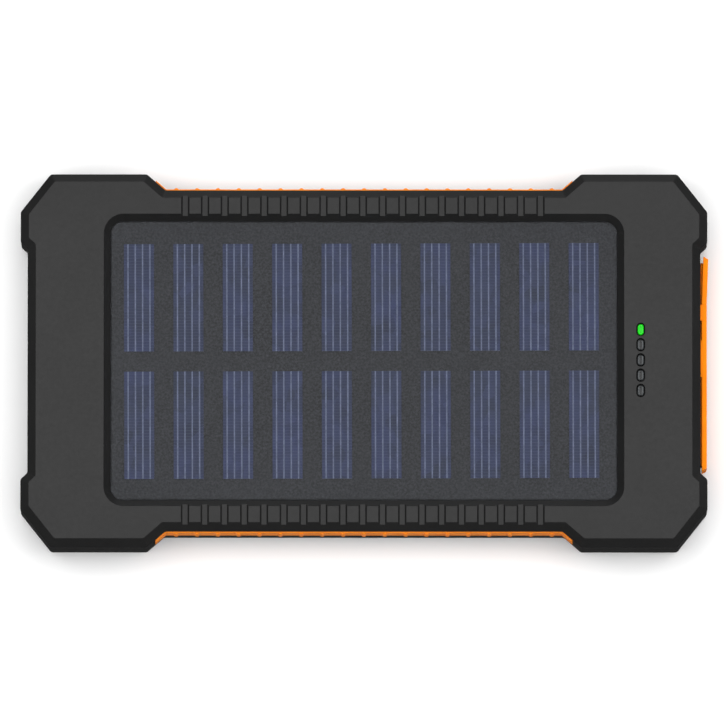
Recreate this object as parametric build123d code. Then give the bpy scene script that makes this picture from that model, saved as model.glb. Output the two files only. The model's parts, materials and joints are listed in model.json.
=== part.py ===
from build123d import *

import os
from math import pi

# Solar power bank: a rugged two-shell pocket charger with a solar panel set into its lid.
# Millimetres. X runs along the long side towards the socket end, Y runs across and away from the
# power button, Z is up and out of the solar panel. The origin is the centre of the flat back.

# ---- Case ----------------------------------------------------------------------------------
LENGTH = 142.0  # over the corner bumpers
WIDTH = 77.5
THICKNESS = 15.0
SPLIT_Z = 8.6  # plane where the two shells meet
WALL = 2.0
FLOOR = 1.6
BEVEL_WIDTH = 1.7  # sloped edge round both faces
TOP_BEVEL_HEIGHT = 2.1
BACK_BEVEL_HEIGHT = 1.3
EDGE_RADIUS = 0.22
CORNER_RADIUS = 1.0
FACE_CORNER_RADIUS = 0.7  # inside the bevel
PARTING_CHAMFER = 0.12  # on each shell where they meet
REACH = 5.0  # how far a cutter runs past the surface it cuts

END_HALF = 69.55  # end walls, set back between the bumpers
NOTCH_OUT_Y = 24.6  # where a bumper ends, at its outer face
NOTCH_IN_Y = 23.3  # where its end slope meets the end wall
CORNER_X = 64.8  # bumper corner cut, on the long side
CORNER_Y = 30.9  # bumper corner cut, on the short side
SLOPE_OUT_X = 44.9  # bumper slope, at the bumper
SLOPE_IN_X = 41.05  # bumper slope, at the top shell's waist
WAIST_TOP = 35.4  # half-width of the top shell between the bumpers
WAIST_BOTTOM = 35.7

# ---- Grip grooves across the long edges ----------------------------------------------------
GROOVES = 19
GROOVE_PITCH = 4.08
GROOVE_SHIFT = -0.23  # the row sits a little left of centre
GROOVE_WIDTH = (1.06, 1.72)  # at the floor and at the face
GROOVE_DEPTH = 0.55
BACK_GROOVE_LENGTH = 6.0

# ---- Solar panel and its recess ------------------------------------------------------------
RECESS_HALF = (53.8, 30.36)  # recess at the top face
RECESS_RADIUS = 4.1
RECESS_BEVEL = (1.36, 1.85)  # width and depth of its sloped edge
RECESS_FLOOR = 0.9
PANEL_GAP = 0.05  # all round the panel
FILM_THICKNESS = 0.45
FILM_RIM = 0.35
FILM_EDGE = 0.08
BACKING_THICKNESS = 0.8
ADHESIVE_THICKNESS = 0.2
PANEL_TOP_Z = THICKNESS - RECESS_BEVEL[1]
BACKING_TOP_Z = PANEL_TOP_Z - FILM_THICKNESS
BACKING_Z = BACKING_TOP_Z - BACKING_THICKNESS
RECESS_FLOOR_Z = BACKING_Z - ADHESIVE_THICKNESS
RECESS_UNDER_Z = RECESS_FLOOR_Z - RECESS_FLOOR
PANEL_HALF = (RECESS_HALF[0] - RECESS_BEVEL[0], RECESS_HALF[1] - RECESS_BEVEL[0])
PANEL_RADIUS = RECESS_RADIUS - RECESS_BEVEL[0]
RECESS_BLOCK = (55.0, 31.6)  # half size of the recess box inside the case
CELL_COLUMNS = 10
CELL_SIZE = (6.2, 22.3)
CELL_PITCH = 10.22
CELL_ROW_Y = 13.24
CELL_SHIFT = (-0.5, -0.04)  # the cells sit a little off the panel's centre
CELL_TURN = 0.17  # and not quite square to it, in degrees
CELL_THICKNESS = 0.2
BUSBARS = 4
BUSBAR_PITCH = 1.51
BUSBAR_SECTION = (0.28, 0.05)
SOLAR_LEAD_AT = ((45.6, 18.0), (45.6, 20.5))

# ---- Charge indicator ----------------------------------------------------------------------
INDICATORS = 5
INDICATOR_X = 57.2
INDICATOR_PITCH = 3.17
INDICATOR_HOLE = (1.85, 2.8)
INDICATOR_LENS = (1.25, 2.2)
LENS_DIMPLE = (0.5, 1.4, 0.35)
LENS_RECESS = 0.15
LENS_FOOT_Z = 11.3
LENS_EDGE = 0.25
SEAL_HALF = (1.8, 8.6)
INDICATOR_LED = (0.8, 1.6, 0.6)

# ---- Side grips ----------------------------------------------------------------------------
GRIP_Z = (6.4, 12.2)
GRIP_PROUD = 0.3  # beyond the top shell's wall
GRIP_SEAT = 0.5  # into the shells' walls
GRIP_HALF_X = 43.1
GRIP_EDGE = 0.15
TONGUE_Z = (7.9, 9.3)  # rib of the grip, clamped between the shells
TONGUE_DEPTH = 0.5
TONGUE_HALF_X = 40.0
NUBS = 19
NUB_PITCH = 4.315
NUB_RADIUS = 0.6
NUB_PROUD = 0.3
NUB_END_GAP = 0.35
NUB_EDGE = 0.2

# ---- Power button and its switch -----------------------------------------------------------
BUTTON_SIZE = (7.4, 2.8)
BUTTON_Z = 4.5
BUTTON_GAP = 0.2
BUTTON_PROUD = 0.2
BUTTON_EDGE = 0.35
BUTTON_FLANGE = (9.6, 3.8, 0.7)
FLANGE_GAP = 0.05
PLUNGER_RADIUS = 0.9
STEM_RADIUS = 0.85
STEM_FIT = 0.05
STEM_BORE = 0.7
STEM_Y = (-32.5, -31.7)  # its outer end and how far it stands into the switch
SWITCH_SIZE = (6.0, 1.7, 3.6)
SWITCH_BOARD = (12.0, 0.8, 5.4)
SWITCH_FACE_Y = -31.9
SWITCH_CORNER = 0.3
SWITCH_RIBS_X = (-7.2, 6.2)
SWITCH_RIB = (1.0, 0.9)  # thickness and height
SWITCH_RIB_INNER_Y = -29.4

# ---- Sockets in the end wall ---------------------------------------------------------------
USB_Y = (0.7, -15.0)
USB_SHELL = (13.6, 13.1, 5.7)
USB_SHEET = 0.3
USB_MOUTH_X = 69.0
USB_TONGUE = (11.1, 1.84)
USB_TONGUE_TOP_GAP = 0.7
USB_TONGUE_TIP_X = 67.3
USB_BACK = 2.4
USB_SPRING_X = (61.5, 66.5)  # slot for a spring leaf in the bottom sheet
USB_SPRING_OFFSET = 3.2
USB_SPRING_SLOT = 2.2
USB_SPRING_LEAF = (4.7, 1.6)
CONTACT_PITCH = 2.25
CONTACT_SECTION = (1.1, 0.15)
CONTACT_SETBACK = 0.8
MICRO_Y = 16.4
MICRO_SHELL = (5.3, 7.5, 2.7)
MICRO_SHEET = 0.25
MICRO_MOUTH_X = 69.2
MICRO_CORNER = 0.8
MICRO_TONGUE = (3.9, 0.6)
MICRO_TONGUE_TOP_GAP = 0.35
MICRO_TONGUE_SETBACK = 1.2
MICRO_BACK = 1.0
WINDOW_GAP = 0.15

# ---- Port cover ----------------------------------------------------------------------------
COVER_Z = (2.4, 10.8)
COVER_FACE_X = 70.9
COVER_PLATE = 1.0
COVER_FAR_Y = 21.9
COVER_NEAR_Y = -22.6
COVER_END_CUT = 0.6
COVER_EDGE = 0.2
STEP_INSET = (1.2, 1.8)  # in from a flap's tip, and down from its top and bottom
STEP_GAP = 0.08
STOP_Y = (-3.1, 4.4)  # full-height stop pad of the long flap
ANCHOR_Y = (8.6, 11.9)
ANCHOR_SLOT = (2.2, 4.0)
ANCHOR_HEAD = (0.9, 3.1, 5.2)
HINGE_GAP = 0.12
USB_PLUG = (11.2, 4.2, 1.3)
MICRO_PLUG = (5.4, 1.2, 0.7)
PLUG_CORNER = 0.25  # share of a plug's thinner side
FLAP_SPLAY = 2.0  # lean of the small flap's face, out at its tip, in degrees

# ---- Boards, battery and torch -------------------------------------------------------------
BOARD_X = (49.0, 67.2)
BOARD_HALF_Y = 28.3
BOARD_THICKNESS = 1.0
BOARD_Z = 9.45
BOARD_TOP_Z = BOARD_Z + BOARD_THICKNESS
BOARD_CORNER = 1.0
INDUCTOR = ((51.9, -1.5), (5.4, 7.0, 3.6))  # place under the board and size
INDUCTOR_CORNER = 1.0
CHIP_AT = ((52.0, -10.5), (52.0, -17.0), (52.0, 13.6))
CHIP = (4.0, 5.0, 1.5)
CAPACITOR_AT = ((50.2, 4.2), (50.2, 7.6), (53.2, 4.2), (53.2, 7.6))
CAPACITOR = (1.6, 2.6, 1.4)
RESISTOR_AT = ((57.5, 15.0), (59.3, 15.0), (61.1, 15.0), (60.0, 10.2), (61.8, 10.2), (63.6, 10.2))
RESISTOR = (0.9, 1.6, 0.45)
POST_AT = (58.5, 25.6)
POST_RADIUS = 2.2
BOARD_SCREW = (0.8, 4.4)  # radius and length
BOARD_SCREW_HEAD = (1.6, 1.1)
BATTERY_X = (-49.0, 42.0)
BATTERY_HALF_Y = 28.6
BATTERY_CORNER = 1.5
BATTERY_EDGE = 1.0
BATTERY_RIB = (1.0, 30.0, 2.0)
BATTERY_RIBS_X = (-50.2, 44.4)
TAPE_THICKNESS = 0.3
TAPE_X = (-30.0, 23.0)
TAPE_SIZE = (20.0, 40.0)
FOAM_X = (-38.0, -3.5, 31.0)
FOAM_SIZE = (8.0, 46.0)
BATTERY_Z = (FLOOR + TAPE_THICKNESS, 9.9)
BATTERY_BOARD = (0.9, 40.0, 5.6)
TORCH_X = -59.0
TORCH_WINDOW = (8.0, 24.0)
TORCH_FLANGE = (10.4, 26.4)
TORCH_CORNER = 1.5
TORCH_BOARD_CORNER = 0.6
TORCH_LENS_RECESS = 0.25
TORCH_FLANGE_TOP_Z = FLOOR + 0.6
TORCH_BOARD_Z = (5.0, 5.8)
TORCH_LED_Y = 6.0
TORCH_LED = (5.0, 0.8)
TORCH_BOWL = (7.6, 11.0)  # mouth of the reflector bowl round one light
TORCH_BOWL_GAP = 0.2
SCREW_AT = (60.5, 31.5)
BOSS_RADIUS = 2.8
SCREW_HEAD = (1.9, 1.4)
SCREW_RADIUS = 0.95
SCREW_TIP_Z = 12.2
SCREW_HOLE = 1.15
SCREW_SEAT_Z = 2.2
SCREW_RECESS = 2.15
SCREW_SPARE = 0.3  # empty thread beyond a screw's tip
SCREW_EDGE = 0.3
SCREW_CROSS = (0.5, 0.8)  # width and depth of the cross recess
SCREW_CROSS_SPAN = 1.3  # in head radii

# ---- Leads ---------------------------------------------------------------------------------
LEAD_RADIUS = 0.45
LEAD_HOLE = 0.75
LEAD_BEND = 1.5
TIGHT_BEND = 0.9
INNER_PAD_X = 50.2  # solder pads on the main board
OUTER_PAD_X = 52.4
BATTERY_LEAD_Z = 6.0
BATTERY_LEAD_Y = (10.2, -6.6)
SOLAR_LEAD_Z = 7.6
LEAD_GAP_X = 46.8  # the gap between the battery and the board
SWITCH_LEAD_Z = (3.6, 5.6)
SWITCH_PAD_Y = -23.0
TORCH_LEAD_X = -55.6
TORCH_LEAD_Z = (7.0, 8.2)
TORCH_LEAD_START_Y = (10.5, 7.5)
TORCH_LEAD_SIDE_Y = 31.0
TORCH_PAD_Y = 25.5


# ---- Small helpers -------------------------------------------------------------------------
def block(x, y, z):
    """A box from its low and high value along each axis."""
    size = (x[1] - x[0], y[1] - y[0], z[1] - z[0])
    centre = ((x[0] + x[1]) / 2, (y[0] + y[1]) / 2, (z[0] + z[1]) / 2)
    return Pos(*centre) * Box(*size)


def around(centre, size):
    """Low and high value of a span about its centre."""
    return (centre - size / 2, centre + size / 2)


def disc(x, y, z, radius):
    """An upright cylinder between two heights."""
    return prism(Pos(x, y) * Circle(radius), *z)


def prism(face, low, high):
    return extrude(Pos(0, 0, low) * face, high - low, dir=(0, 0, 1))


def frustum(face_low, low, face_high, high):
    return loft([(Pos(0, 0, low) * face_low).face(), (Pos(0, 0, high) * face_high).face()], ruled=True)


def inset(face, amount):
    return offset(face, -amount, kind=Kind.INTERSECTION)


def rounded(face, radius):
    return fillet(face.vertices(), radius)


def round_rect(half, radius, shrink=0.0):
    return RectangleRounded(2 * (half[0] - shrink), 2 * (half[1] - shrink), radius - shrink)


def stadium(size):
    """A slot outline standing along Y."""
    return Rot(0, 0, 90) * SlotOverall(size[1], size[0])


def row(count, pitch):
    return [(i - (count - 1) / 2) * pitch for i in range(count)]


def corners(at):
    return [(sx * at[0], sy * at[1]) for sx in (1, -1) for sy in (1, -1)]


def edges_at(shape, *heights):
    return [e for e in shape.edges() if any(abs(e.center().Z - z) < 0.01 for z in heights)]


def upright_edges(shape):
    return [e for e in shape.edges() if abs(e.tangent_at(0.5).Z) > 0.9]


def lead(points, bend=LEAD_BEND):
    """An insulated wire along straight runs joined by tangent arcs."""
    route = FilletPolyline(*points, radius=bend)
    start = Vector(*points[0])
    section = Plane(origin=start, z_dir=Vector(*points[1]) - start) * Circle(LEAD_RADIUS)
    wire = sweep(section, path=route)
    if abs(wire.volume / (pi * LEAD_RADIUS**2 * route.length) - 1) > 0.02:
        raise ValueError("a lead's sweep has the wrong volume")
    return wire


# ---- Shells --------------------------------------------------------------------------------
def outline(waist):
    """Plan of a shell: a long waist between four cut-cornered bumpers."""
    lean = (SLOPE_OUT_X - SLOPE_IN_X) / (WIDTH / 2 - WAIST_TOP)
    points = [
        (END_HALF, NOTCH_IN_Y),
        (LENGTH / 2, NOTCH_OUT_Y),
        (LENGTH / 2, CORNER_Y),
        (CORNER_X, WIDTH / 2),
        (SLOPE_OUT_X, WIDTH / 2),
        (SLOPE_IN_X + (waist - WAIST_TOP) * lean, waist),
    ]
    points = points + [(-x, y) for x, y in reversed(points)]
    points = points + [(x, -y) for x, y in reversed(points)]
    return Polygon(*points, align=None)


def bevelled_body(waist, split_z, edge_z, face_z):
    """A shell's outer form: an upright wall and a bevelled face with softened edges."""
    plan = outline(waist)
    wall_plan = rounded(plan, CORNER_RADIUS)
    face_plan = rounded(inset(plan, BEVEL_WIDTH), FACE_CORNER_RADIUS)
    body = prism(wall_plan, *sorted((split_z, edge_z)))
    if face_z > edge_z:
        body += frustum(wall_plan, edge_z, face_plan, face_z)
    else:
        body += frustum(face_plan, face_z, wall_plan, edge_z)
    body = fillet(edges_at(body, edge_z, face_z), EDGE_RADIUS)
    return chamfer(edges_at(body, split_z), PARTING_CHAMFER)


def grip_zone(outer, low, high):
    """The band along both long sides that the side grips fill, out to a given reach."""
    plan = offset(outline(WAIST_TOP), outer, kind=Kind.INTERSECTION) - inset(outline(WAIST_TOP), GRIP_SEAT)
    ring = prism(plan, low, high)
    return ring & block((-GRIP_HALF_X, GRIP_HALF_X), (-WIDTH, WIDTH), (low, high))


def tongue_zone():
    high_y = WAIST_TOP - GRIP_SEAT
    low_y = high_y - TONGUE_DEPTH
    return [block(around(0, 2 * TONGUE_HALF_X), y, TONGUE_Z) for y in ((low_y, high_y), (-high_y, -low_y))]


def groove_cutters(face_z, sign, low_y, high_y):
    """Flat-floored grooves across a long edge of the face at face_z, cut towards the inside."""
    floor_z = face_z - sign * GROOVE_DEPTH
    over_z = face_z + sign * GROOVE_DEPTH
    low, high = (w / 2 for w in GROOVE_WIDTH)
    flare = high + (high - low)
    profile = Polygon((-low, floor_z), (low, floor_z), (flare, over_z), (-flare, over_z), align=None)
    cutter = extrude(Plane.XZ * profile, high_y - low_y, dir=(0, 1, 0))
    cutters = []
    for x in row(GROOVES, GROOVE_PITCH):
        cutters.append(Pos(x + GROOVE_SHIFT, low_y, 0) * cutter)
        cutters.append(Pos(x + GROOVE_SHIFT, -high_y, 0) * cutter)
    return cutters


def socket_windows():
    """Openings through the end wall, one for each socket."""
    x = (END_HALF - WALL - 1, LENGTH / 2)
    cuts = []
    for y in USB_Y:
        cuts.append(window(x, y, USB_SHELL))
    return cuts + [window(x, MICRO_Y, MICRO_SHELL)]


def window(x, y, socket):
    """A cutter with a small gap all round a socket that hangs under the board."""
    z = (BOARD_Z - socket[2] - WINDOW_GAP, BOARD_Z + WINDOW_GAP)
    return block(x, around(y, socket[1] + 2 * WINDOW_GAP), z)


def anchor_centre():
    return (ANCHOR_Y[0] + ANCHOR_Y[1]) / 2, SPLIT_Z - ANCHOR_SLOT[1] / 2


def top_shell():
    edge_z = THICKNESS - TOP_BEVEL_HEIGHT
    land_z = THICKNESS - FLOOR
    shell = bevelled_body(WAIST_TOP, SPLIT_Z, edge_z, THICKNESS)
    cavity = prism(inset(outline(WAIST_TOP), WALL), SPLIT_Z, land_z)
    cavity -= block(around(0, 2 * RECESS_BLOCK[0]), around(0, 2 * RECESS_BLOCK[1]), (RECESS_UNDER_Z, land_z))
    for x, y in corners(SCREW_AT):
        cavity -= disc(x, y, (SPLIT_Z, land_z), BOSS_RADIUS)
    shell -= cavity
    for x, y in corners(SCREW_AT):
        shell -= disc(x, y, (SPLIT_Z, SCREW_TIP_Z + SCREW_SPARE), SCREW_RADIUS)
    panel_plan = round_rect(PANEL_HALF, PANEL_RADIUS)
    shell -= frustum(panel_plan, PANEL_TOP_Z, round_rect(RECESS_HALF, RECESS_RADIUS), THICKNESS)
    shell -= prism(panel_plan, RECESS_FLOOR_Z, PANEL_TOP_Z)
    shell -= groove_cutters(THICKNESS, 1, PANEL_HALF[1], WIDTH / 2)
    for y in row(INDICATORS, INDICATOR_PITCH):
        shell -= prism(Pos(INDICATOR_X, y) * stadium(INDICATOR_HOLE), land_z, THICKNESS)
    for x, y in SOLAR_LEAD_AT:
        shell -= disc(x, y, (RECESS_UNDER_Z, RECESS_FLOOR_Z), LEAD_HOLE)
    shell -= [grip_zone(REACH, SPLIT_Z, GRIP_Z[1])] + tongue_zone() + socket_windows()
    return shell


def bottom_shell():
    shell = bevelled_body(WAIST_BOTTOM, SPLIT_Z, BACK_BEVEL_HEIGHT, 0)
    cavity = prism(inset(outline(WAIST_BOTTOM), WALL), FLOOR, SPLIT_Z)
    for x, y in corners(SCREW_AT):
        cavity -= disc(x, y, (FLOOR, SPLIT_Z), BOSS_RADIUS)
    shell -= cavity
    for x, y in corners(SCREW_AT):
        shell -= disc(x, y, (0, SPLIT_Z), SCREW_HOLE)
        shell -= disc(x, y, (0, SCREW_SEAT_Z), SCREW_RECESS)
    for y in (POST_AT[1], -POST_AT[1]):
        shell += disc(POST_AT[0], y, (FLOOR, BOARD_Z), POST_RADIUS)
        shell -= disc(POST_AT[0], y, (BOARD_Z - BOARD_SCREW[1], BOARD_Z), BOARD_SCREW[0])
    for x in BATTERY_RIBS_X:
        shell += block((x, x + BATTERY_RIB[0]), around(0, BATTERY_RIB[1]), (FLOOR, FLOOR + BATTERY_RIB[2]))
    for x in SWITCH_RIBS_X:
        rib_y = (-WAIST_BOTTOM + WALL, SWITCH_RIB_INNER_Y)
        shell += block((x, x + SWITCH_RIB[0]), rib_y, (FLOOR, FLOOR + SWITCH_RIB[1]))
    shell -= prism(torch_plan(TORCH_WINDOW, TORCH_CORNER), 0, FLOOR)
    shell -= groove_cutters(0, -1, WAIST_BOTTOM - BACK_GROOVE_LENGTH, WIDTH / 2)
    hole = (BUTTON_SIZE[0] + 2 * BUTTON_GAP, BUTTON_SIZE[1] + 2 * BUTTON_GAP)
    shell -= button_prism(hole, -WAIST_BOTTOM - WALL, -WAIST_BOTTOM + 2 * WALL)
    y, z = anchor_centre()
    shell -= block((END_HALF - WALL, LENGTH / 2), around(y, ANCHOR_SLOT[0]), around(z, ANCHOR_SLOT[1]))
    shell -= [grip_zone(REACH, GRIP_Z[0], SPLIT_Z)] + tongue_zone() + socket_windows()
    return shell


# ---- Side grips ----------------------------------------------------------------------------
def side_grip(side):
    """A soft strip with upright nubs, wrapped round the waist and locked in by its tongue."""
    strip = grip_zone(GRIP_PROUD, *GRIP_Z) & block((-WIDTH, WIDTH), (0, WIDTH), GRIP_Z)
    outer = [e for e in edges_at(strip, *GRIP_Z) if e.center().Y > WAIST_TOP]
    strip = fillet(outer, GRIP_EDGE)
    strip += tongue_zone()[0]
    nub_z = (GRIP_Z[0] + NUB_END_GAP, GRIP_Z[1] - NUB_END_GAP)
    nub = disc(0, WAIST_TOP + GRIP_PROUD + NUB_PROUD - NUB_RADIUS, nub_z, NUB_RADIUS)
    outer_half = block(around(0, 2 * NUB_RADIUS), (WAIST_TOP - GRIP_SEAT / 2, WIDTH), nub_z)
    nub = fillet(edges_at(nub, *nub_z), NUB_EDGE) & outer_half
    strip += [Pos(x, 0, 0) * nub for x in row(NUBS, NUB_PITCH)]
    return strip if side > 0 else mirror(strip, Plane.XZ)


# ---- Solar panel ---------------------------------------------------------------------------
def panel_plate(low, high):
    return prism(round_rect(PANEL_HALF, PANEL_RADIUS, PANEL_GAP), low, high)


def cell_centres():
    return [
        (x + CELL_SHIFT[0], y + CELL_SHIFT[1])
        for y in (CELL_ROW_Y, -CELL_ROW_Y)
        for x in row(CELL_COLUMNS, CELL_PITCH)
    ]


def on_panel(x, y, size, z):
    """A flat strip on the panel, turned with the cells."""
    return Rot(0, 0, CELL_TURN) * block(around(x, size[0]), around(y, size[1]), z)


def solar_cells():
    z = (BACKING_TOP_Z, BACKING_TOP_Z + CELL_THICKNESS)
    return [on_panel(x, y, CELL_SIZE, z) for x, y in cell_centres()]


def cell_busbars():
    low = BACKING_TOP_Z + CELL_THICKNESS
    size = (BUSBAR_SECTION[0], CELL_SIZE[1])
    places = [(x + shift, y) for x, y in cell_centres() for shift in row(BUSBARS, BUSBAR_PITCH)]
    return [on_panel(x, y, size, (low, low + BUSBAR_SECTION[1])) for x, y in places]


def panel_film():
    """The clear cover: a thin tray turned over the cells, standing on its rim."""
    film = panel_plate(BACKING_TOP_Z, PANEL_TOP_Z)
    film = fillet(edges_at(film, PANEL_TOP_Z), FILM_EDGE)
    half = [size - FILM_RIM for size in PANEL_HALF]
    pocket_z = (BACKING_TOP_Z, BACKING_TOP_Z + CELL_THICKNESS + BUSBAR_SECTION[1])
    return film - block(around(0, 2 * half[0]), around(0, 2 * half[1]), pocket_z)


def panel_adhesive():
    sheet = panel_plate(RECESS_FLOOR_Z, BACKING_Z)
    for x, y in SOLAR_LEAD_AT:
        sheet -= disc(x, y, (RECESS_FLOOR_Z, BACKING_Z), LEAD_HOLE)
    return sheet


# ---- Charge indicator ----------------------------------------------------------------------
def indicator_lens(y):
    top = THICKNESS - LENS_RECESS
    lens = prism(Pos(INDICATOR_X, y) * stadium(INDICATOR_LENS), LENS_FOOT_Z, top)
    lens = fillet(edges_at(lens, top), LENS_EDGE)
    return lens - prism(Pos(INDICATOR_X, y) * stadium(LENS_DIMPLE[:2]), top - LENS_DIMPLE[2], top)


def indicator_seal():
    """Soft frame that holds the lenses and keeps each one's light apart."""
    z = (LENS_FOOT_Z, THICKNESS - FLOOR)
    seal = block(around(INDICATOR_X, 2 * SEAL_HALF[0]), around(0, 2 * SEAL_HALF[1]), z)
    for y in row(INDICATORS, INDICATOR_PITCH):
        seal -= prism(Pos(INDICATOR_X, y) * stadium(INDICATOR_LENS), *z)
    return seal


def indicator_leds():
    length, width, height = INDICATOR_LED
    z = (BOARD_TOP_Z, BOARD_TOP_Z + height)
    return [block(around(INDICATOR_X, length), around(y, width), z) for y in row(INDICATORS, INDICATOR_PITCH)]


# ---- Power button --------------------------------------------------------------------------
def button_prism(size, low_y, high_y):
    """A bar along Y with the button's obround section."""
    section = Plane(origin=(0, low_y, BUTTON_Z), x_dir=(1, 0, 0), z_dir=(0, 1, 0)) * SlotOverall(*size)
    return extrude(section, high_y - low_y, dir=(0, 1, 0))


def power_button():
    outer_y = -WAIST_BOTTOM - BUTTON_PROUD
    flange_y = -WAIST_BOTTOM + WALL + FLANGE_GAP
    cap = button_prism(BUTTON_SIZE, outer_y, flange_y)
    cap = fillet([e for e in cap.edges() if abs(e.center().Y - outer_y) < 0.01], BUTTON_EDGE)
    cap += button_prism(BUTTON_FLANGE[:2], flange_y, flange_y + BUTTON_FLANGE[2])
    plunger = y_cylinder(PLUNGER_RADIUS, flange_y + BUTTON_FLANGE[2], STEM_Y[0])
    return cap + plunger


def y_cylinder(radius, low_y, high_y):
    section = Plane(origin=(0, low_y, BUTTON_Z), x_dir=(1, 0, 0), z_dir=(0, 1, 0)) * Circle(radius)
    return extrude(section, high_y - low_y, dir=(0, 1, 0))


def switch_stem():
    return y_cylinder(STEM_RADIUS, *STEM_Y)


def tact_switch():
    back_y = SWITCH_FACE_Y + SWITCH_SIZE[1]
    body = block(around(0, SWITCH_SIZE[0]), (SWITCH_FACE_Y, back_y), around(BUTTON_Z, SWITCH_SIZE[2]))
    body = fillet([e for e in body.edges() if abs(e.tangent_at(0.5).Y) > 0.9], SWITCH_CORNER)
    return body - y_cylinder(STEM_RADIUS + STEM_FIT, SWITCH_FACE_Y, SWITCH_FACE_Y + STEM_BORE)


def switch_board():
    length, thickness, height = SWITCH_BOARD
    low_y = SWITCH_FACE_Y + SWITCH_SIZE[1]
    return block(around(0, length), (low_y, low_y + thickness), around(BUTTON_Z, height))


# ---- Sockets -------------------------------------------------------------------------------
def usb_shell(y):
    """A full-size socket's folded sheet housing, open at the mouth."""
    x = (USB_MOUTH_X - USB_SHELL[0], USB_MOUTH_X)
    z = (BOARD_Z - USB_SHELL[2], BOARD_Z)
    inner_z = (z[0] + USB_SHEET, z[1] - USB_SHEET)
    shell = block(x, around(y, USB_SHELL[1]), z)
    shell -= block((x[0] + USB_SHEET, x[1]), around(y, USB_SHELL[1] - 2 * USB_SHEET), inner_z)
    leaf_x = (USB_SPRING_X[0], USB_SPRING_X[0] + USB_SPRING_LEAF[0])
    for spring_y in (y - USB_SPRING_OFFSET, y + USB_SPRING_OFFSET):
        shell -= block(USB_SPRING_X, around(spring_y, USB_SPRING_SLOT), (z[0], inner_z[0]))
        shell += block(leaf_x, around(spring_y, USB_SPRING_LEAF[1]), (z[0], inner_z[0]))
    return shell


def usb_tongue(y):
    """The moulded insulator: a back block with the contact tongue standing out of it."""
    back_x = USB_MOUTH_X - USB_SHELL[0] + USB_SHEET
    inner_z = (BOARD_Z - USB_SHELL[2] + USB_SHEET, BOARD_Z - USB_SHEET)
    tongue = block((back_x, back_x + USB_BACK), around(y, USB_SHELL[1] - 2 * USB_SHEET), inner_z)
    top_z = inner_z[1] - USB_TONGUE_TOP_GAP
    tongue += block((back_x, USB_TONGUE_TIP_X), around(y, USB_TONGUE[0]), (top_z - USB_TONGUE[1], top_z))
    return tongue


def usb_contacts():
    """Four flat spring contacts under each tongue."""
    top = BOARD_Z - USB_SHEET - USB_TONGUE_TOP_GAP - USB_TONGUE[1]
    back_x = USB_MOUTH_X - USB_SHELL[0] + USB_SHEET + USB_BACK
    x = (back_x, USB_TONGUE_TIP_X - CONTACT_SETBACK)
    z = (top - CONTACT_SECTION[1], top)
    places = [y + shift for y in USB_Y for shift in row(4, CONTACT_PITCH)]
    return [block(x, around(y, CONTACT_SECTION[0]), z) for y in places]


def micro_profile(shrink):
    """The small socket's mouth: flat on top with cut lower corners."""
    half = MICRO_SHELL[1] / 2 - shrink
    low = BOARD_Z - MICRO_SHELL[2] + shrink
    high = BOARD_Z - shrink
    cut = MICRO_CORNER
    right = [(half, high), (half, low + cut), (half - cut, low)]
    return Polygon(*right, *[(-y, z) for y, z in reversed(right)], align=None)


def along_x(face, low, high):
    """Extrudes a Y-Z profile between two places along X."""
    section = Plane(origin=(low, MICRO_Y, 0), x_dir=(0, 1, 0), z_dir=(1, 0, 0)) * face
    return extrude(section, high - low, dir=(1, 0, 0))


def micro_usb_shell():
    low = MICRO_MOUTH_X - MICRO_SHELL[0]
    shell = along_x(micro_profile(0), low, MICRO_MOUTH_X)
    return shell - along_x(micro_profile(MICRO_SHEET), low + MICRO_SHEET, MICRO_MOUTH_X)


def micro_usb_tongue():
    back_x = MICRO_MOUTH_X - MICRO_SHELL[0] + MICRO_SHEET
    tongue = along_x(micro_profile(MICRO_SHEET), back_x, back_x + MICRO_BACK)
    top_z = BOARD_Z - MICRO_SHEET - MICRO_TONGUE_TOP_GAP
    x = (back_x, MICRO_MOUTH_X - MICRO_TONGUE_SETBACK)
    return tongue + block(x, around(MICRO_Y, MICRO_TONGUE[0]), (top_z - MICRO_TONGUE[1], top_z))


# ---- Port cover ----------------------------------------------------------------------------
def cover_plate(low_y, high_y, cut_high):
    """A soft strip along the end wall with a cut tip at its free end."""
    inner_x = COVER_FACE_X - COVER_PLATE
    tip, root = (high_y, low_y) if cut_high else (low_y, high_y)
    cut = COVER_END_CUT if cut_high else -COVER_END_CUT
    points = [(inner_x, root), (COVER_FACE_X, root), (COVER_FACE_X, tip - cut), (inner_x, tip)]
    plate = prism(Polygon(*points, align=None), *COVER_Z)
    face_edges = [e for e in plate.edges() if abs(e.center().X - COVER_FACE_X) < 0.01]
    return fillet([e for e in face_edges if abs(e.center().Y - root) > 0.1], COVER_EDGE)


def cover_step(low_y, high_y):
    """The raised pad behind a flap that closes against the end wall."""
    z = (COVER_Z[0] + STEP_INSET[1], COVER_Z[1] - STEP_INSET[1])
    return block((END_HALF + STEP_GAP, COVER_FACE_X - COVER_PLATE / 2), (low_y, high_y), z)


def plug(y, z, size, mouth_x):
    """A soft plug that stands off a flap into its socket."""
    body = block((mouth_x - size[2], COVER_FACE_X - COVER_PLATE), around(y, size[0]), around(z, size[1]))
    return fillet([e for e in body.edges() if abs(e.tangent_at(0.5).X) > 0.9], min(size[:2]) * PLUG_CORNER)


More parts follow.
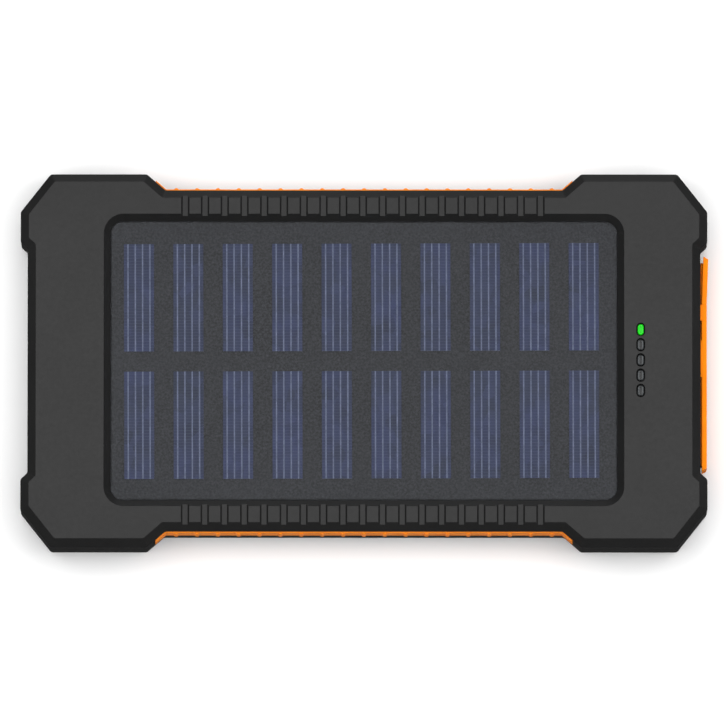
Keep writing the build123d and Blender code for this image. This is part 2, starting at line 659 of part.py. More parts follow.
def port_cover_anchor():
    """The fixed middle of the port cover, buttoned through a slot in the end wall."""
    y, z = anchor_centre()
    inner_x = END_HALF - WALL
    anchor = block((END_HALF, COVER_FACE_X), ANCHOR_Y, COVER_Z)
    face_edges = [e for e in anchor.edges() if abs(e.center().X - COVER_FACE_X) < 0.01]
    anchor = fillet([e for e in face_edges if abs(e.tangent_at(0.5).Y) > 0.9], COVER_EDGE)
    anchor += block((inner_x, END_HALF), around(y, ANCHOR_SLOT[0]), around(z, ANCHOR_SLOT[1]))
    anchor += block((inner_x - ANCHOR_HEAD[0], inner_x), around(y, ANCHOR_HEAD[1]), around(z, ANCHOR_HEAD[2]))
    return anchor


def micro_usb_flap():
    root = ANCHOR_Y[1] + HINGE_GAP
    pivot = Axis((COVER_FACE_X, ANCHOR_Y[1] + HINGE_GAP / 2, 0), (0, 0, -1))
    flap = cover_plate(root, COVER_FAR_Y, True).rotate(pivot, FLAP_SPLAY)
    flap += cover_step(root, COVER_FAR_Y - STEP_INSET[0])
    return flap + plug(MICRO_Y, BOARD_Z - MICRO_SHELL[2] / 2 - 0.2, MICRO_PLUG, MICRO_MOUTH_X)


def usb_a_flap():
    root = ANCHOR_Y[0] - HINGE_GAP
    flap = cover_plate(COVER_NEAR_Y, root, False)
    flap += cover_step(COVER_NEAR_Y + STEP_INSET[0], root)
    flap += block((END_HALF + STEP_GAP, COVER_FACE_X - COVER_PLATE / 2), STOP_Y, COVER_Z)
    for y in USB_Y:
        flap += plug(y, BOARD_Z - USB_SHELL[2] / 2, USB_PLUG, USB_MOUTH_X)
    return flap


# ---- Boards and their parts ----------------------------------------------------------------
def main_board():
    board = block(BOARD_X, around(0, 2 * BOARD_HALF_Y), (BOARD_Z, BOARD_TOP_Z))
    board = fillet(upright_edges(board), BOARD_CORNER)
    for y in (POST_AT[1], -POST_AT[1]):
        board -= disc(POST_AT[0], y, (BOARD_Z, BOARD_TOP_Z), BOARD_SCREW[0] + 0.2)
    return board


def under_board(x, y, size):
    """A part hung under the main board."""
    return block(around(x, size[0]), around(y, size[1]), (BOARD_Z - size[2], BOARD_Z))


def power_inductor():
    (x, y), size = INDUCTOR
    return fillet(upright_edges(under_board(x, y, size)), INDUCTOR_CORNER)


def screw(x, y, head, radius, seat_z, tip_z):
    """A cross-recess screw with its head at seat_z and its tip at tip_z."""
    up = 1 if tip_z > seat_z else -1
    head_z = sorted((seat_z, seat_z - up * head[1]))
    body = disc(x, y, head_z, head[0]) + disc(x, y, sorted((seat_z, tip_z)), radius)
    face_z = seat_z - up * head[1]
    body = fillet(edges_at(body, face_z), SCREW_EDGE)
    slot_z = sorted((face_z, face_z + up * SCREW_CROSS[1]))
    span = head[0] * SCREW_CROSS_SPAN
    body -= block(around(x, span), around(y, SCREW_CROSS[0]), slot_z)
    return body - block(around(x, SCREW_CROSS[0]), around(y, span), slot_z)


def case_screws():
    return [screw(x, y, SCREW_HEAD, SCREW_RADIUS, SCREW_SEAT_Z, SCREW_TIP_Z) for x, y in corners(SCREW_AT)]


def board_screws():
    tip_z = BOARD_Z - BOARD_SCREW[1] + SCREW_SPARE
    places = [(POST_AT[0], y) for y in (POST_AT[1], -POST_AT[1])]
    return [screw(x, y, BOARD_SCREW_HEAD, BOARD_SCREW[0], BOARD_TOP_Z, tip_z) for x, y in places]


# ---- Battery -------------------------------------------------------------------------------
def battery():
    cell = block(BATTERY_X, around(0, 2 * BATTERY_HALF_Y), BATTERY_Z)
    cell = fillet(upright_edges(cell), BATTERY_CORNER)
    return fillet(edges_at(cell, *BATTERY_Z), BATTERY_EDGE)


def battery_tape():
    length, width = TAPE_SIZE
    return [block(around(x, length), around(0, width), (FLOOR, FLOOR + TAPE_THICKNESS)) for x in TAPE_X]


def battery_foam():
    length, width = FOAM_SIZE
    return [block(around(x, length), around(0, width), (BATTERY_Z[1], RECESS_UNDER_Z)) for x in FOAM_X]


def battery_board():
    x = (BATTERY_X[1], BATTERY_X[1] + BATTERY_BOARD[0])
    return block(x, around(0, BATTERY_BOARD[1]), around(sum(BATTERY_Z) / 2, BATTERY_BOARD[2]))


# ---- Torch in the back ---------------------------------------------------------------------
def torch_plan(size, radius):
    return Pos(TORCH_X, 0) * round_rect((size[0] / 2, size[1] / 2), radius)


def torch_lens():
    lens = prism(torch_plan(TORCH_WINDOW, TORCH_CORNER), TORCH_LENS_RECESS, FLOOR)
    return lens + prism(torch_plan(TORCH_FLANGE, TORCH_CORNER), FLOOR, TORCH_FLANGE_TOP_Z)


def torch_reflector():
    body = prism(torch_plan(TORCH_FLANGE, TORCH_CORNER), TORCH_FLANGE_TOP_Z, TORCH_BOARD_Z[0])
    foot = TORCH_LED[0] + 2 * TORCH_BOWL_GAP
    for y in (TORCH_LED_Y, -TORCH_LED_Y):
        wide = Pos(TORCH_X, y) * Rectangle(*TORCH_BOWL)
        narrow = Pos(TORCH_X, y) * Rectangle(foot, foot)
        body -= frustum(wide, TORCH_FLANGE_TOP_Z, narrow, TORCH_BOARD_Z[0])
    return body


def torch_board():
    return prism(torch_plan(TORCH_FLANGE, TORCH_BOARD_CORNER), *TORCH_BOARD_Z)


def torch_leds():
    z = (TORCH_BOARD_Z[0] - TORCH_LED[1], TORCH_BOARD_Z[0])
    side = TORCH_LED[0]
    return [block(around(TORCH_X, side), around(y, side), z) for y in (TORCH_LED_Y, -TORCH_LED_Y)]


# ---- Leads ---------------------------------------------------------------------------------
def battery_lead(y):
    start_x = BATTERY_X[1] + BATTERY_BOARD[0]
    z = BATTERY_LEAD_Z
    return lead([(start_x, y, z), (INNER_PAD_X, y, z), (INNER_PAD_X, y, BOARD_Z)])


def solar_lead(x, y):
    z = SOLAR_LEAD_Z
    return lead([(x, y, BACKING_Z), (x, y, z), (INNER_PAD_X, y, z), (INNER_PAD_X, y, BOARD_Z)], TIGHT_BEND)


def switch_lead(z, end_x):
    y = SWITCH_FACE_Y + SWITCH_SIZE[1] + SWITCH_BOARD[1] / 2
    pad_y = SWITCH_PAD_Y
    along = [(SWITCH_BOARD[0] / 2, y, z), (LEAD_GAP_X, y, z), (LEAD_GAP_X, pad_y, z)]
    return lead(along + [(end_x, pad_y, z), (end_x, pad_y, BOARD_Z)])


def torch_lead(z, start_y, end_x):
    x = TORCH_LEAD_X
    side_y = TORCH_LEAD_SIDE_Y
    pad_y = TORCH_PAD_Y
    along = [(x, start_y, TORCH_BOARD_Z[1]), (x, start_y, z), (x, side_y, z), (LEAD_GAP_X, side_y, z)]
    return lead(along + [(LEAD_GAP_X, pad_y, z), (end_x, pad_y, z), (end_x, pad_y, BOARD_Z)], TIGHT_BEND)


# ---- Parts list ----------------------------------------------------------------------------
def build():
    lens_y = row(INDICATORS, INDICATOR_PITCH)
    return {
        "top_shell": top_shell(),
        "bottom_shell": bottom_shell(),
        "side_grip_far": side_grip(1),
        "side_grip_near": side_grip(-1),
        "panel_backing": panel_plate(BACKING_Z, BACKING_TOP_Z),
        "solar_cells": solar_cells(),
        "cell_busbars": cell_busbars(),
        "panel_film": panel_film(),
        "panel_adhesive": panel_adhesive(),
        "indicator_lens_lit": indicator_lens(lens_y[-1]),
        "indicator_lenses": [indicator_lens(y) for y in lens_y[:-1]],
        "indicator_seal": indicator_seal(),
        "indicator_leds": indicator_leds(),
        "power_button": power_button(),
        "switch_stem": switch_stem(),
        "tact_switch": tact_switch(),
        "switch_board": switch_board(),
        "usb_a_shell_1": usb_shell(USB_Y[0]),
        "usb_a_shell_2": usb_shell(USB_Y[1]),
        "usb_a_tongue_1": usb_tongue(USB_Y[0]),
        "usb_a_tongue_2": usb_tongue(USB_Y[1]),
        "usb_a_contacts": usb_contacts(),
        "micro_usb_shell": micro_usb_shell(),
        "micro_usb_tongue": micro_usb_tongue(),
        "port_cover_anchor": port_cover_anchor(),
        "micro_usb_flap": micro_usb_flap(),
        "usb_a_flap": usb_a_flap(),
        "main_board": main_board(),
        "power_inductor": power_inductor(),
        "power_chips": [under_board(x, y, CHIP) for x, y in CHIP_AT],
        "board_capacitors": [under_board(x, y, CAPACITOR) for x, y in CAPACITOR_AT],
        "board_resistors": [under_board(x, y, RESISTOR) for x, y in RESISTOR_AT],
        "case_screws": case_screws(),
        "board_screws": board_screws(),
        "battery": battery(),
        "battery_tape": battery_tape(),
        "battery_foam": battery_foam(),
        "battery_board": battery_board(),
        "battery_lead_plus": battery_lead(BATTERY_LEAD_Y[0]),
        "battery_lead_minus": battery_lead(BATTERY_LEAD_Y[1]),
        "solar_lead_plus": solar_lead(*SOLAR_LEAD_AT[0]),
        "solar_lead_minus": solar_lead(*SOLAR_LEAD_AT[1]),
        "switch_leads": [switch_lead(z, x) for z, x in zip(SWITCH_LEAD_Z, (OUTER_PAD_X, INNER_PAD_X))],
        "torch_lens": torch_lens(),
        "torch_reflector": torch_reflector(),
        "torch_board": torch_board(),
        "torch_leds": torch_leds(),
        "torch_lead_plus": torch_lead(TORCH_LEAD_Z[0], TORCH_LEAD_START_Y[0], OUTER_PAD_X),
        "torch_lead_minus": torch_lead(TORCH_LEAD_Z[1], TORCH_LEAD_START_Y[1], INNER_PAD_X),
    }


os.makedirs("parts", exist_ok=True)
for name, shape in build().items():
    if isinstance(shape, list):
        shape = Compound([solid for piece in shape for solid in piece.solids()])
    export_step(shape, f"parts/{name}.step")
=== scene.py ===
import json
import math

import bpy
import bmesh
from mathutils import Matrix, Vector


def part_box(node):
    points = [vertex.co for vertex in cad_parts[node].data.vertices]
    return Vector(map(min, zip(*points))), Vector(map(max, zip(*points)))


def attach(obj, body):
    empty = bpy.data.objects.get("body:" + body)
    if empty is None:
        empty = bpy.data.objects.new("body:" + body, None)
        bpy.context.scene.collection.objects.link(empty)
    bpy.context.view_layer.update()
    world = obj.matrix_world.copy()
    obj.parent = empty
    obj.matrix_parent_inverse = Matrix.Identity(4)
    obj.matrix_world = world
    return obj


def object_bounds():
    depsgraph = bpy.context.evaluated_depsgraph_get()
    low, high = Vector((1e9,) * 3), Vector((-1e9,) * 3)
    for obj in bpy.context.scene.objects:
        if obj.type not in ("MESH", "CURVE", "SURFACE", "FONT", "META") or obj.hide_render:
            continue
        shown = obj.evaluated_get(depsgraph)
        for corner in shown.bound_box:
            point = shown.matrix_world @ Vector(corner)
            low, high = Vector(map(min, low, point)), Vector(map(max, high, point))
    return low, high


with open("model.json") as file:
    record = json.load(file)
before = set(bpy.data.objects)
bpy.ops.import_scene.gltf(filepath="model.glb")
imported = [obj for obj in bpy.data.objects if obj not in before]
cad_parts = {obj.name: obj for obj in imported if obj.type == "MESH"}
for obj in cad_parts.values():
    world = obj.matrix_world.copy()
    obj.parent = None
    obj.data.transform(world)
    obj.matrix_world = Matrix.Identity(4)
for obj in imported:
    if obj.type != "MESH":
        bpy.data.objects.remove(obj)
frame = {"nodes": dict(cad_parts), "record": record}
CAD_LOW, CAD_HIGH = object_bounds()
NODES = frame["nodes"]
RECORD = frame["record"]
MM = 0.001


def srgb(r, g, b):
    """Linear colour from 0-255 display values."""
    linear = [c / 255 / 12.92 if c <= 10 else ((c / 255 + 0.055) / 1.055) ** 2.4 for c in (r, g, b)]
    return tuple(linear) + (1.0,)


def shade(colour, factor):
    return tuple(c * factor for c in colour[:3]) + (1.0,)


# ---- Camera and light settings ---------------------------------------------------------------
CAMERA_TARGET = Vector((0.0, -0.135, 7.5)) * MM
CAMERA_DISTANCE = 5.34
CAMERA_TILT = 5.57  # degrees from straight down, towards the near side
CAMERA_SWING = 0.11  # degrees towards the socket end
CAMERA_ROLL = 0.03  # degrees
CAMERA_LENS = 1276.0
CAMERA_SENSOR = 36.0
CAMERA_CLIP_END = 100.0
ZENITH = 1.75  # strength of the dome overhead
HORIZON = 0.1  # its strength near the horizon
DOME_EDGE = (0.5, 0.85)  # height on the dome where it brightens
LAMP_AIM = (0, 0, 0)
FAR_LAMP_POWER = 5.5
FAR_LAMP_PLACE = (0.1, 1.5, 0.25)
FAR_LAMP_SIZE = (0.8, 0.4)
SIDE_LAMP_POWER = 2.2
SIDE_LAMP_PLACE = (1.4, 0.0, 0.8)
SIDE_LAMP_SIZE = (0.35, 0.35)
SOFTBOX_POWER = 0.32
SOFTBOX_PLACE = (0.0, 0.013, 0.2)
SOFTBOX_SIZE = (0.5, 0.12)

# ---- Floor settings --------------------------------------------------------------------------
FLOOR_HALF = 6.0
FLOOR_SEGMENTS = 8
FLOOR_GAP = 0.05 * MM  # how far it lies under the object
FLOOR_TONES = ((0.9, 0.9, 0.9, 1), (0.93, 0.93, 0.93, 1))

# ---- Material settings -----------------------------------------------------------------------
MIDDLE = (0.3, 0.7)  # the middle of a noise's range, which most of its values fall in
MIX_A, MIX_B, MIX_RESULT = 6, 7, 2  # the colour sockets of a Mix node

PLASTIC_ROUGHNESS = (0.42, 0.56)
PLASTIC_SPECULAR = 0.22
SILICONE_ROUGHNESS = (0.45, 0.6)
SILICONE_SPREAD = 0.08  # how far its tone drifts to either side
BLEED_RADIUS = (1.0, 0.35, 0.1)  # how far red, green and blue carry under silicone
BLEED_SCALE = 0.6 * MM
LENS_ROUGHNESS = (0.18, 0.32)
LENS_IOR = 1.49
LENS_SPECULAR = 0.18
# The dark core of each clear charge light is painted shade: a darker stripe in the lens colour for the
# unlit hollow behind it.
PAINTED_SHADE_EDGE = (0.16 * MM, 0.36 * MM)  # soft edge of the painted shade stripe that stands for the unlit hollow behind a charge light
PAINTED_CORE_SHADE = 0.28
LIGHTS_X = sum(corner[0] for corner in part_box("indicator_lenses")) / 2
TRACK_SCALE = 420.0
TRACK_WIDTH = 0.05
TRACK_SOFTNESS = 0.1
FINGER_SCALE = 1.0 / (2 * math.pi * MM) * 3.2

ORANGE = (0.97, 0.235, 0.001, 1.0)
BAND = (0.85, 0.23, 0.012, 1.0)
SHEET = (srgb(28, 29, 31), srgb(32, 33, 35))
FLECK = srgb(58, 60, 64)
CELL_BLUE = (srgb(30, 36, 53), srgb(34, 41, 70))
CRYSTAL = srgb(50, 58, 90)
FINGER = srgb(92, 102, 122)
# Busbar colours hold a painted reflection: tin darkened and tinted towards the blue of the cells round
# it.
BUSBAR_WITH_PAINTED_REFLECTION = (srgb(64, 72, 92), srgb(84, 92, 114))
HAZE = (srgb(70, 72, 75), srgb(120, 122, 126))
FOIL = (srgb(150, 152, 156), srgb(188, 190, 194))

# ---- Hinge web settings ----------------------------------------------------------------------
WEB_THICKNESS = 0.95 * MM
WEB_GAP = 0.13 * MM
WEB_SKIN = 0.04 * MM  # how far it lies under the cover's face
WEB_WAIST = 0.1  # share of its thickness lost halfway across the slit
WEB_CUTS = 3


# ---- Shader helpers --------------------------------------------------------------------------
class Shader:
    """A node material under construction, with one Principled shader."""

    def __init__(self, name):
        self.material = bpy.data.materials.new(name)
        self.material.use_nodes = True
        self.tree = self.material.node_tree
        self.tree.nodes.clear()
        self.out = self.add("ShaderNodeOutputMaterial")
        self.bsdf = self.add("ShaderNodeBsdfPrincipled")
        self.link(self.bsdf.outputs["BSDF"], self.out.inputs["Surface"])
        self.coords = self.add("ShaderNodeTexCoord").outputs["Object"]

    def add(self, kind, **settings):
        node = self.tree.nodes.new(kind)
        for key, value in settings.items():
            setattr(node, key, value)
        return node

    def link(self, a, b):
        self.tree.links.new(a, b)

    def feed(self, socket, source):
        """Link a socket to another socket, or set it to a plain value."""
        if isinstance(source, (int, float, tuple)):
            socket.default_value = source
        else:
            self.link(source, socket)

    def value(self, name, value):
        self.bsdf.inputs[name].default_value = value

    def scaled(self, scale):
        mapping = self.add("ShaderNodeMapping")
        mapping.inputs["Scale"].default_value = scale
        self.link(self.coords, mapping.inputs["Vector"])
        return mapping.outputs["Vector"]

    def noise(self, size_mm, detail=3.0, rough=0.5, stretch=None):
        node = self.add("ShaderNodeTexNoise")
        node.inputs["Scale"].default_value = 1.0 / (size_mm * MM)
        node.inputs["Detail"].default_value = detail
        node.inputs["Roughness"].default_value = rough
        self.link(self.scaled(stretch) if stretch else self.coords, node.inputs["Vector"])
        return node.outputs["Fac"]

    def cells(self, size_mm, feature, output):
        node = self.add("ShaderNodeTexVoronoi", feature=feature)
        node.inputs["Scale"].default_value = 1.0 / (size_mm * MM)
        self.link(self.coords, node.inputs["Vector"])
        return node.outputs[output]

    def remap(self, source, span, new_span=(0.0, 1.0)):
        node = self.add("ShaderNodeMapRange")
        for key, v in zip(("From Min", "From Max", "To Min", "To Max"), (*span, *new_span)):
            node.inputs[key].default_value = v
        self.link(source, node.inputs["Value"])
        return node.outputs["Result"]

    def math(self, operation, a, b=0):
        node = self.add("ShaderNodeMath", operation=operation)
        for socket, source in zip(node.inputs, (a, b)):
            self.feed(socket, source)
        return node.outputs[0]

    def mix(self, factor, a, b):
        node = self.add("ShaderNodeMix", data_type="RGBA")
        self.link(factor, node.inputs["Factor"])
        self.feed(node.inputs[MIX_A], a)
        self.feed(node.inputs[MIX_B], b)
        return node.outputs[MIX_RESULT]

    def colour(self, source):
        self.link(source, self.bsdf.inputs["Base Color"])

    def roughness(self, source):
        self.link(source, self.bsdf.inputs["Roughness"])

    def bump(self, height, strength, depth_mm):
        node = self.add("ShaderNodeBump")
        node.inputs["Strength"].default_value = strength
        node.inputs["Distance"].default_value = depth_mm * MM
        self.link(height, node.inputs["Height"])
        self.link(node.outputs["Normal"], self.bsdf.inputs["Normal"])


# ---- Materials -------------------------------------------------------------------------------
def plastic(name, colour, spread=0.25, grain=0.8):
    """Moulded plastic: a fine spark-eroded grain and slow tonal drift."""
    s = Shader(name)
    drift = s.remap(s.noise(14), MIDDLE)
    fine = s.noise(grain, detail=4, rough=0.6)
    tone = s.math("ADD", s.math("MULTIPLY", drift, 0.4), s.math("MULTIPLY", fine, 0.6))
    s.colour(s.mix(tone, shade(colour, 1 - spread), shade(colour, 1 + spread)))
    s.roughness(s.remap(fine, (0.25, 0.75), PLASTIC_ROUGHNESS))
    s.bump(fine, strength=0.5, depth_mm=0.04)
    s.value("Specular IOR Level", PLASTIC_SPECULAR)
    return s.material


def silicone(name, colour, bleed=0.12, specular=0.16):
    """Soft moulded silicone with a little light carried under its skin."""
    s = Shader(name)
    drift = s.remap(s.noise(5), MIDDLE)
    fine = s.noise(0.22)
    s.colour(s.mix(drift, shade(colour, 1 - SILICONE_SPREAD), shade(colour, 1 + SILICONE_SPREAD)))
    s.roughness(s.remap(fine, MIDDLE, SILICONE_ROUGHNESS))
    s.bump(fine, strength=0.25, depth_mm=0.01)
    s.value("Specular IOR Level", specular)
    s.value("Subsurface Weight", bleed)
    s.value("Subsurface Radius", BLEED_RADIUS)
    s.value("Subsurface Scale", BLEED_SCALE)
    return s.material


def metal(name, colour, rough=(0.22, 0.4), stretch=(1, 14, 14), size=1.5):
    """Drawn or plated metal with a fine directional grain."""
    s = Shader(name)
    grain = s.noise(size, detail=4, rough=0.6, stretch=stretch)
    s.colour(s.mix(s.remap(grain, MIDDLE), shade(colour, 0.86), shade(colour, 1.06)))
    s.roughness(s.remap(grain, MIDDLE, rough))
    s.bump(grain, strength=0.12, depth_mm=0.006)
    s.value("Metallic", 1.0)
    return s.material


def board(name, colour):
    """Solder mask over copper: broad pads, thin tracks and a woven glass ground."""
    s = Shader(name)
    tracks = s.add("ShaderNodeTexBrick", offset=0.5)
    tracks.inputs["Scale"].default_value = TRACK_SCALE
    tracks.inputs["Mortar Size"].default_value = TRACK_WIDTH
    tracks.inputs["Mortar Smooth"].default_value = TRACK_SOFTNESS
    s.link(s.coords, tracks.inputs["Vector"])
    weave = s.noise(0.5)
    copper = s.mix(s.remap(weave, MIDDLE), shade(colour, 0.8), shade(colour, 1.2))
    s.colour(s.mix(tracks.outputs["Fac"], copper, shade(colour, 2.1)))
    s.roughness(s.remap(weave, MIDDLE, (0.28, 0.42)))
    s.bump(tracks.outputs["Fac"], strength=0.3, depth_mm=0.03)
    return s.material


def translucent(name, colour, transmission, glow=0.0, painted_shade_x=None):
    """Moulded lens plastic, slightly milky, with flow marks and, along a given x, a painted shade
    stripe for the unlit hollow behind it.
    """
    s = Shader(name)
    milk = s.noise(0.6, detail=4)
    body = s.mix(s.remap(milk, MIDDLE), shade(colour, 0.88), shade(colour, 1.08))
    # Painted shade: the lens colour is darkened along a stripe for the unlit hollow behind it.
    if painted_shade_x is not None:
        across = s.add("ShaderNodeSeparateXYZ")
        s.link(s.coords, across.inputs["Vector"])
        off = s.math("ABSOLUTE", s.math("SUBTRACT", across.outputs["X"], painted_shade_x))
        body = s.mix(s.remap(off, PAINTED_SHADE_EDGE, (1.0, 0.0)), body, shade(colour, PAINTED_CORE_SHADE))
    s.colour(body)
    s.roughness(s.remap(milk, MIDDLE, LENS_ROUGHNESS))
    s.bump(milk, strength=0.1, depth_mm=0.02)
    s.value("Transmission Weight", transmission)
    s.value("IOR", LENS_IOR)
    s.value("Specular IOR Level", LENS_SPECULAR)
    if glow:
        s.value("Emission Color", colour)
        s.value("Emission Strength", glow)
    return s.material


def panel_ground(name):
    """Dark backing sheet with a fine pale fleck."""
    s = Shader(name)
    fleck = s.noise(0.45, detail=5, rough=0.75)
    drift = s.remap(s.noise(18, detail=2), MIDDLE)
    ground = s.mix(drift, *SHEET)
    s.colour(s.mix(s.remap(fleck, (0.4, 0.75)), ground, FLECK))
    s.roughness(s.remap(fleck, MIDDLE, (0.5, 0.7)))
    s.bump(fleck, strength=0.3, depth_mm=0.02)
    s.value("Specular IOR Level", 0.08)
    return s.material


def silicon(name):
    """Dark blue cell: large faint crystals, thin printed fingers and uneven coating colour."""
    s = Shader(name)
    crystal = s.cells(2.6, "F1", "Color")
    tone = s.add("ShaderNodeSeparateColor")
    s.link(crystal, tone.inputs["Color"])
    coat = s.remap(s.noise(9, rough=0.6), (0.35, 0.65))
    blue = s.mix(coat, *CELL_BLUE)
    grainy = s.mix(s.remap(tone.outputs["Red"], (0, 1), (0.0, 0.35)), blue, CRYSTAL)
    fingers = s.add("ShaderNodeTexWave", wave_type="BANDS", bands_direction="Y", wave_profile="SIN")
    fingers.inputs["Scale"].default_value = FINGER_SCALE
    s.link(s.coords, fingers.inputs["Vector"])
    line = s.remap(fingers.outputs["Fac"], (0.9, 1.0), (0.0, 0.16))
    s.colour(s.mix(line, grainy, FINGER))
    s.roughness(s.remap(s.noise(0.4), MIDDLE, (0.3, 0.5)))
    s.bump(s.noise(0.25, detail=4), strength=0.2, depth_mm=0.01)
    s.value("Specular IOR Level", 0.1)
    return s.material


def busbar(name):
    """Tinned strip, its colour darkened and tinted blue as a painted reflection of the cell round it.
    """
    s = Shader(name)
    wear = s.noise(0.7, detail=4, rough=0.65)
    # Painted reflection: the tin's colour is darkened and tinted blue for the cells round it.
    s.colour(s.mix(s.remap(wear, (0.35, 0.65)), *BUSBAR_WITH_PAINTED_REFLECTION))
    s.roughness(s.remap(wear, MIDDLE, (0.35, 0.55)))
    s.bump(wear, strength=0.3, depth_mm=0.015)
    s.value("Metallic", 0.3)
    s.value("Specular IOR Level", 0.2)
    return s.material


def clear_cover(name):
    """Clear coat seen from above: an orange-peel gloss and a light haze, nothing from below."""
    s = Shader(name)
    peel = s.noise(0.55, rough=0.55)
    haze = s.noise(0.3, detail=5, rough=0.7)
    s.colour(s.mix(s.remap(haze, (0.35, 0.7)), *HAZE))
    s.roughness(s.remap(haze, MIDDLE, (0.34, 0.5)))
    s.bump(peel, strength=0.35, depth_mm=0.02)
    clear = s.add("ShaderNodeBsdfTransparent")
    facing = s.add("ShaderNodeNewGeometry")
    cover = s.remap(haze, (0.3, 0.75), (0.03, 0.12))
    shown = s.math("MULTIPLY", cover, s.math("SUBTRACT", 1.0, facing.outputs["Backfacing"]))
    blend = s.add("ShaderNodeMixShader")
    s.link(shown, blend.inputs["Fac"])
    s.link(clear.outputs["BSDF"], blend.inputs[1])
    s.link(s.bsdf.outputs["BSDF"], blend.inputs[2])
    s.link(blend.outputs["Shader"], s.out.inputs["Surface"])
    return s.material


def foil(name):
    """Crinkled aluminium pouch."""
    s = Shader(name)
    crease = s.cells(3.0, "DISTANCE_TO_EDGE", "Distance")
    fold = s.noise(2.0, detail=5, rough=0.6)
    s.colour(s.mix(s.remap(fold, MIDDLE), *FOIL))
    s.roughness(s.remap(fold, MIDDLE, (0.25, 0.45)))
    s.bump(s.math("ADD", s.remap(crease, (0, 0.1)), fold), strength=0.35, depth_mm=0.15)
    s.value("Metallic", 0.85)
    return s.material


LOOKS = {
    "case_black": plastic("case_black", srgb(28, 28, 28)),
    "button_black": silicone("button_black", srgb(34, 34, 35), bleed=0.0),
    "grip_orange": silicone("grip_orange", BAND),
    "cover_orange": silicone("cover_orange", ORANGE, specular=0.07),
    "panel_black": panel_ground("panel_black"),
    "solar_cell": silicon("solar_cell"),
    "tinned": busbar("tinned"),
    "panel_clear": clear_cover("panel_clear"),
    "soft_black": silicone("soft_black", srgb(24, 24, 24), bleed=0.0),
    "lens_green": translucent("lens_green", srgb(14, 185, 18), 0.05, glow=0.26),
    # The clear lenses carry a painted shade stripe along the lights' centre line.
    "lens_clear": translucent("lens_clear", srgb(70, 73, 75), 0.1, painted_shade_x=LIGHTS_X),
    "led_white": translucent("led_white", srgb(240, 236, 205), 0.1),
    "reflector": metal("reflector", srgb(225, 225, 228), (0.05, 0.14), (1, 1, 1), 2.0),
    "chip_black": plastic("chip_black", srgb(28, 28, 30), grain=0.15),
    "board_green": board("board_green", srgb(22, 74, 44)),
    "socket_steel": metal("socket_steel", srgb(200, 200, 202)),
    "socket_insulator": plastic("socket_insulator", srgb(222, 222, 216), spread=0.05, grain=0.2),
    "contact_gold": metal("contact_gold", srgb(232, 190, 110), (0.15, 0.3)),
    "capacitor_tan": plastic("capacitor_tan", srgb(160, 128, 92), spread=0.1, grain=0.15),
    "screw_steel": metal("screw_steel", srgb(92, 92, 95), (0.25, 0.42), (1, 1, 1), 0.4),
    "battery_foil": foil("battery_foil"),
    "lead_red": silicone("lead_red", srgb(185, 22, 18), bleed=0.05),
    "lead_black": silicone("lead_black", srgb(26, 26, 26), bleed=0.0),
}


# ---- Hinge webs ------------------------------------------------------------------------------
def hinge_web(name, joint):
    """The thin living hinge that bridges the slit between the cover's fixed middle and a flap."""
    anchor_low, anchor_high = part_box("port_cover_anchor")
    height = anchor_high[2] - anchor_low[2] - 4 * WEB_SKIN
    centre = Vector((
        anchor_high[0] - WEB_SKIN - WEB_THICKNESS / 2,
        joint["pos_m"][1],
        (anchor_low[2] + anchor_high[2]) / 2,
    ))
    maker = bmesh.new()
    bmesh.ops.create_cube(maker, size=1.0)
    bmesh.ops.subdivide_edges(maker, edges=maker.edges, cuts=WEB_CUTS, use_grid_fill=True)
    for vertex in maker.verts:
        x, y, z = vertex.co
        waist = 1 - WEB_WAIST * (1 - (2 * y) ** 2)
        vertex.co = Vector((x * WEB_THICKNESS * waist, y * WEB_GAP, z * height)) + centre
    mesh = bpy.data.meshes.new(name)
    maker.to_mesh(mesh)
    maker.free()
    web = bpy.data.objects.new(name, mesh)
    bpy.context.collection.objects.link(web)
    mesh.materials.append(LOOKS["cover_orange"])
    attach(web, "case")


# ---- Stage -----------------------------------------------------------------------------------
def floor():
    """A matt white table that the object's glossy side walls don't mirror."""
    mesh = bpy.data.meshes.new("floor")
    maker = bmesh.new()
    bmesh.ops.create_grid(maker, x_segments=FLOOR_SEGMENTS, y_segments=FLOOR_SEGMENTS, size=FLOOR_HALF)
    maker.to_mesh(mesh)
    maker.free()
    plane = bpy.data.objects.new("floor", mesh)
    plane.location.z = CAD_LOW.z - FLOOR_GAP
    bpy.context.collection.objects.link(plane)
    s = Shader("floor")
    s.colour(s.mix(s.remap(s.noise(400), MIDDLE), *FLOOR_TONES))
    s.value("Roughness", 0.85)
    s.value("Specular IOR Level", 0.1)
    mesh.materials.append(s.material)
    plane.visible_glossy = False


def area(name, place, aim, size, power):
    """A rectangular lamp that lights the object without showing in the picture."""
    light = bpy.data.lights.new(name, "AREA")
    light.shape = "RECTANGLE"
    light.size, light.size_y = size
    light.energy = power
    lamp = bpy.data.objects.new(name, light)
    lamp.location = place
    lamp.rotation_euler = (Vector(aim) - Vector(place)).to_track_quat("-Z", "Y").to_euler()
    lamp.visible_camera = False
    bpy.context.collection.objects.link(lamp)


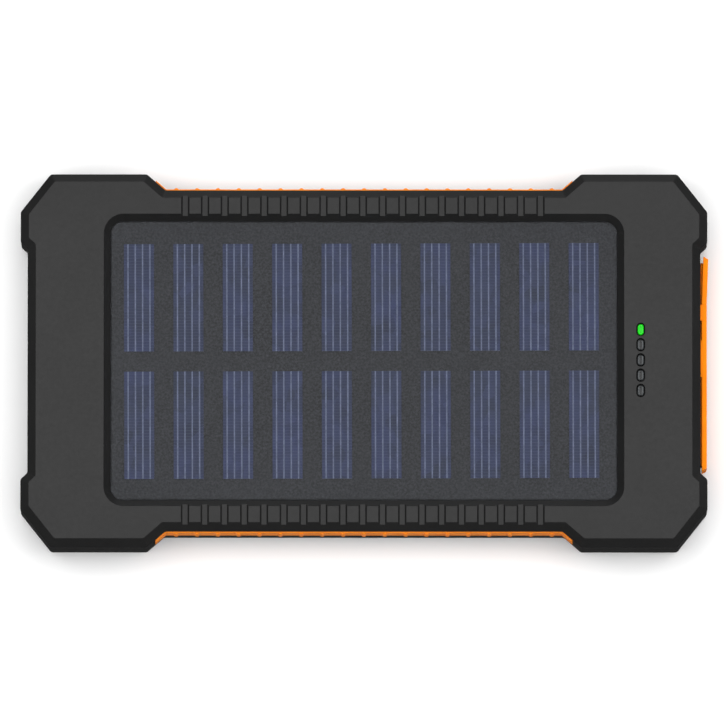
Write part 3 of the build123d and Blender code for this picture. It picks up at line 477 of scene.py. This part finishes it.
def dome():
    """A studio dome, bright overhead and dim towards the horizon."""
    world = bpy.data.worlds.new("studio")
    world.use_nodes = True
    tree = world.node_tree
    background = tree.nodes["Background"]
    background.inputs["Color"].default_value = (1, 1, 1, 1)
    coords = tree.nodes.new("ShaderNodeTexCoord")
    height = tree.nodes.new("ShaderNodeSeparateXYZ")
    ramp = tree.nodes.new("ShaderNodeMapRange")
    ramp.interpolation_type = "SMOOTHSTEP"
    ramp.inputs["From Min"].default_value, ramp.inputs["From Max"].default_value = DOME_EDGE
    ramp.inputs["To Min"].default_value = HORIZON
    ramp.inputs["To Max"].default_value = ZENITH
    tree.links.new(coords.outputs["Generated"], height.inputs["Vector"])
    tree.links.new(height.outputs["Z"], ramp.inputs["Value"])
    tree.links.new(ramp.outputs["Result"], background.inputs["Strength"])
    bpy.context.scene.world = world


def camera():
    """A long lens almost straight above the object."""
    tilt, swing = math.radians(CAMERA_TILT), math.radians(CAMERA_SWING)
    back = Vector((math.sin(swing), -math.sin(tilt), 0))
    back.z = math.sqrt(1 - back.length_squared)
    right = Vector((0, 1, 0)).cross(back).normalized()
    turn = Matrix((right, back.cross(right), back)).transposed()
    turn = turn @ Matrix.Rotation(math.radians(CAMERA_ROLL), 3, "Z")
    data = bpy.data.cameras.new("camera")
    data.lens = CAMERA_LENS
    data.sensor_width = CAMERA_SENSOR
    data.clip_end = CAMERA_CLIP_END
    cam = bpy.data.objects.new("camera", data)
    cam.location = CAMERA_TARGET + back * CAMERA_DISTANCE
    cam.rotation_euler = turn.to_euler()
    bpy.context.collection.objects.link(cam)
    bpy.context.scene.camera = cam


for part in RECORD["subparts"]:
    mesh = NODES[part["node"]].data
    mesh.materials.clear()
    mesh.materials.append(LOOKS[part["material_slot"]])
for joint in RECORD["behaviour"]["joints"]:
    if joint["type"] == "hinge":
        hinge_web(joint["child"] + "_web", joint)
floor()
dome()
area("far_lamp", FAR_LAMP_PLACE, LAMP_AIM, FAR_LAMP_SIZE, FAR_LAMP_POWER)
area("side_lamp", SIDE_LAMP_PLACE, LAMP_AIM, SIDE_LAMP_SIZE, SIDE_LAMP_POWER)
area("softbox", SOFTBOX_PLACE, SOFTBOX_PLACE[:2] + (0,), SOFTBOX_SIZE, SOFTBOX_POWER)
camera()
scene = bpy.context.scene
scene.view_settings.view_transform = "Standard"
scene.view_settings.look = "None"
